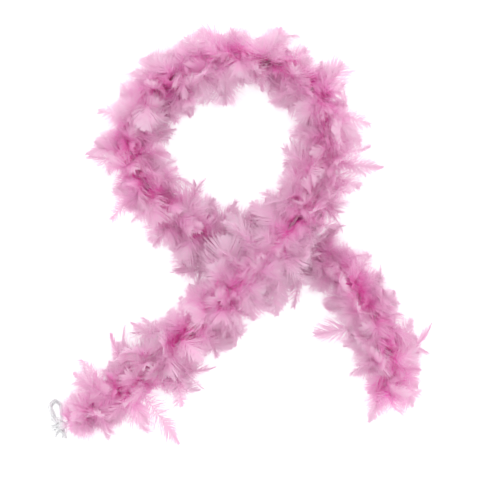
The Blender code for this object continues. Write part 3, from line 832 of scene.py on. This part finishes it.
# A pair of barbs stands at each station along a shaft: downy low down, and a closed vane towards the tip
station = plume.add("GeometryNodeMeshLine", {"Count": plume.input("Barbs"), "Offset": (0.0, 0.0, 0.001)})
station = plume.store(station, grow_u=(index + 0.5) / plume.input("Barbs"))
stations = plume.add("GeometryNodeInstanceOnPoints", {"Points": quills, "Instance": station})
stations = plume.add("GeometryNodeRealizeInstances", {"Geometry": stations})
u = plume.read("grow_u") * 0.95 + 0.05
place, way, face, vane = shaft(u)
downy = plume.read("grow_downy")
looseness = 1 - plume.eased(u, downy * 0.65 + 0.1, downy * 0.75 + 0.45, 0.0, 0.85 - downy * 0.25)
tuft = plume.noise(place + plume.read_vector("grow_aim") * 3.0, TUFTING, 1.0)
swell = plume.eased(u, -0.05, 0.3, 0.6, 1.0) * plume.eased(u, 0.5, 1.02, 1.0, downy * 0.28 + 0.1)
barb_long = (swell * plume.read("grow_size") * plume.eased(tuft, 0.3, 0.7, 0.85, 1.12)
             * plume.input("Vane_Width"))
# along runs from root to tip up each shaft and stops short on the short down, and the colour darkens towards
# its low end: partly denser dye in the down, partly painted shade at the roots and in the down next to the
# cord.
stations = plume.store(
    stations, grow_place=place, grow_way=way, grow_face=face, grow_side=vane, grow_loose=looseness,
    grow_long=barb_long * chance(0.8, 1.12, 16), along=u * plume.read("grow_reach"),
    streak=chance(0.0, 1.0, 17),
    grow_mean=chance((-1.0, -1.0, -1.0), (1.0, 1.0, 1.0), 11),
    grow_differ=chance((-1.0, -1.0, -1.0), (1.0, 1.0, 1.0), 12),
)
strip = plume.add("GeometryNodeMeshGrid", {"Size X": 1.0, "Size Y": 1.0, "Vertices X": 3, "Vertices Y": 2})
pair = plume.add("GeometryNodeJoinGeometry", {"Geometry": [
    plume.store(strip, grow_hand=1.0), plume.store(strip, grow_hand=-1.0)]})
place = plume.add("GeometryNodeInputPosition")
parts = plume.add("ShaderNodeSeparateXYZ", {"Vector": place})
pair = plume.store(pair, outward=parts.out("X") + 0.5, grow_over=parts.out("Y"))
barbs = plume.add("GeometryNodeInstanceOnPoints", {"Points": stations, "Instance": pair})
barbs = plume.add("GeometryNodeRealizeInstances", {"Geometry": barbs})

# Each barb leaves the shaft to its own side, curls, and tangles with the others the looser it is
x, hand, loose = plume.read("outward"), plume.read("grow_hand"), plume.read("grow_loose")
scatter = plume.read_vector("grow_mean") * 0.6 + plume.read_vector("grow_differ") * hand * 0.6
way, face, vane = (plume.read_vector(name) for name in ("grow_way", "grow_face", "grow_side"))
openness = plume.eased(plume.read("along"), 0.1, 1.0, 1.2, plume.read("grow_downy") * 0.34 + 0.4)
leaving = unit(way * plume.sum("COSINE", openness) + vane * (plume.sum("SINE", openness) * hand)
               + scatter * (loose * 0.62 + 0.04))
long = plume.read("grow_long")
over = unit(cross(leaving, face + scatter * loose * 0.8))
fitted = plume.eased(plume.read("grow_length"), 0.03, 0.11, 0.85, 1.9)
wide_here = plume.input("Barb_Width") * fitted * (1 - loose * 0.4) * (1.1 - x * x * 0.85)
curl = way * (x * x * long * 0.25) + face * (x * x * long * -0.22)
spot = (plume.read_vector("grow_place") + leaving * (x * long) + curl
        + over * (plume.read("grow_over") * wide_here))
tangle = swirl(spot, TANGLING, 2.0) * (x * (loose * 0.014 + 0.003))
barbs = plume.add("GeometryNodeSetPosition", {"Geometry": barbs, "Position": spot + tangle})

# The shaft itself is a narrow ridged blade
blade = plume.add("GeometryNodeMeshGrid", {"Size X": 1.0, "Size Y": 1.0, "Vertices X": 9, "Vertices Y": 3})
blade = plume.store(blade, along=parts.out("X") + 0.5, grow_over=parts.out("Y"), spine=1.0)
blades = plume.add("GeometryNodeInstanceOnPoints", {"Points": quills, "Instance": blade})
blades = plume.add("GeometryNodeRealizeInstances", {"Geometry": blades})
u = plume.read("along")
place, way, face, vane = shaft(u)
half = plume.read("grow_over") * (1.15 - u) * SHAFT_WIDTH
middle_share = 0.25 - plume.sum("ABSOLUTE", plume.read("grow_over"))
ridge = face * (middle_share * (1.1 - u) * SHAFT_RIDGE + SHAFT_LIFT)
blades = plume.add("GeometryNodeSetPosition", {"Geometry": blades, "Position": place + vane * half + ridge})

both = plume.add("GeometryNodeJoinGeometry", {"Geometry": [barbs, blades]})
# How far each point lies from the cord: next to it the feathers take the deep magenta, partly denser dye and
# partly painted shade deep in the plume.
near_cord = plume.add("GeometryNodeProximity", {0: plume.input("Geometry")}, target_element="EDGES")
dye_and_shade_ends = plume.read("grow_limit") * DYE_AND_SHADE_REACH + DYE_AND_SHADE_DEPTH
clear = plume.sum("MINIMUM", near_cord.out("Distance") / dye_and_shade_ends, 1.0)
both = plume.store(both, clear=clear)
xyz = plume.add("ShaderNodeSeparateXYZ", {"Vector": plume.add("GeometryNodeInputPosition")})
# The table carries the lowest tips, and the plume's own weight keeps the highest ones down
level = xyz.out("Z")
pressed = plume.sum("EXPONENT", plume.sum("MINIMUM", level, PRESSED) / PRESSED - 1.0) * PRESSED + LOWEST
above = plume.sum("MAXIMUM", level - TALLEST, 0.0)
topped = plume.sum("MINIMUM", level, TALLEST) + (1 - plume.sum("EXPONENT", above / -FLATTENED)) * FLATTENED
settled = plume.add("ShaderNodeCombineXYZ", {
    "X": xyz, "Y": xyz.out("Y"), "Z": plume.sum("MAXIMUM", topped, pressed)})
plume.finish(plume.add("GeometryNodeSetPosition", {"Geometry": both, "Position": settled}))


def grow_feathers(name, start, end, number):
    """The feathers of one bunch, or of half of it, between two places along the cord."""
    runs = np.linspace(start, end, max(2, round((end - start) / STEP_ALONG_BUNCH) + 1))
    places, to_left, to_right = zip(*REACHES)
    marks = {
        "left": np.interp(runs, places, to_left),
        "right": np.interp(runs, places, to_right),
        "high": [half_height(run) for run in runs],
        "sweep": [FAR_LEAN * eased(run, END_RUN - FAR_LEAN_LENGTH, END_RUN)
                  + NECK_LEAN * (1 - eased(run, 0.0, NECK_LEAN_END))
                  - SHOULDER_LEAN * (1 - eased(abs(run - SHOULDER_RUN), 0.0, SHOULDER_LENGTH))
                  for run in runs],
    }
    middle = (start + end) / 2
    crowding = 1 + CROSSING_CROWDING * max(nearness(middle, OVER_RUN), nearness(middle, UNDER_RUN))
    count = round((end - start) * FEATHERS_PER_METRE * crowding)
    made = plume.make(name, [[core_at(run) for run in runs]], marks, Feathers=count,
                      Seed=number * 100 + round(start * 1000))
    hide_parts(f"feather_bunch_{number:02d}")
    return made


for number in range(1, BUNCHES + 1):
    start, end = PARTINGS[number - 1], PARTINGS[number]
    at_start, at_end = number - 1 in JOINTS, number in JOINTS
    middle = (start + end) / 2
    if at_start and at_end:
        bend_over(grow_feathers(f"feathers_{number:02d}_a", start, middle, number), number - 1)
        bend_over(grow_feathers(f"feathers_{number:02d}_b", middle, end, number), number)
    elif at_start or at_end:
        joint = number - 1 if at_start else number
        bend_over(grow_feathers(f"feathers_{number:02d}", start, end, number), joint)
    else:
        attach(grow_feathers(f"feathers_{number:02d}", start, end, number), BODY_OF[number - 1])

# ---- Imported model's bounds -------------------------------------------------------------------------------
low, high = CAD_BOX
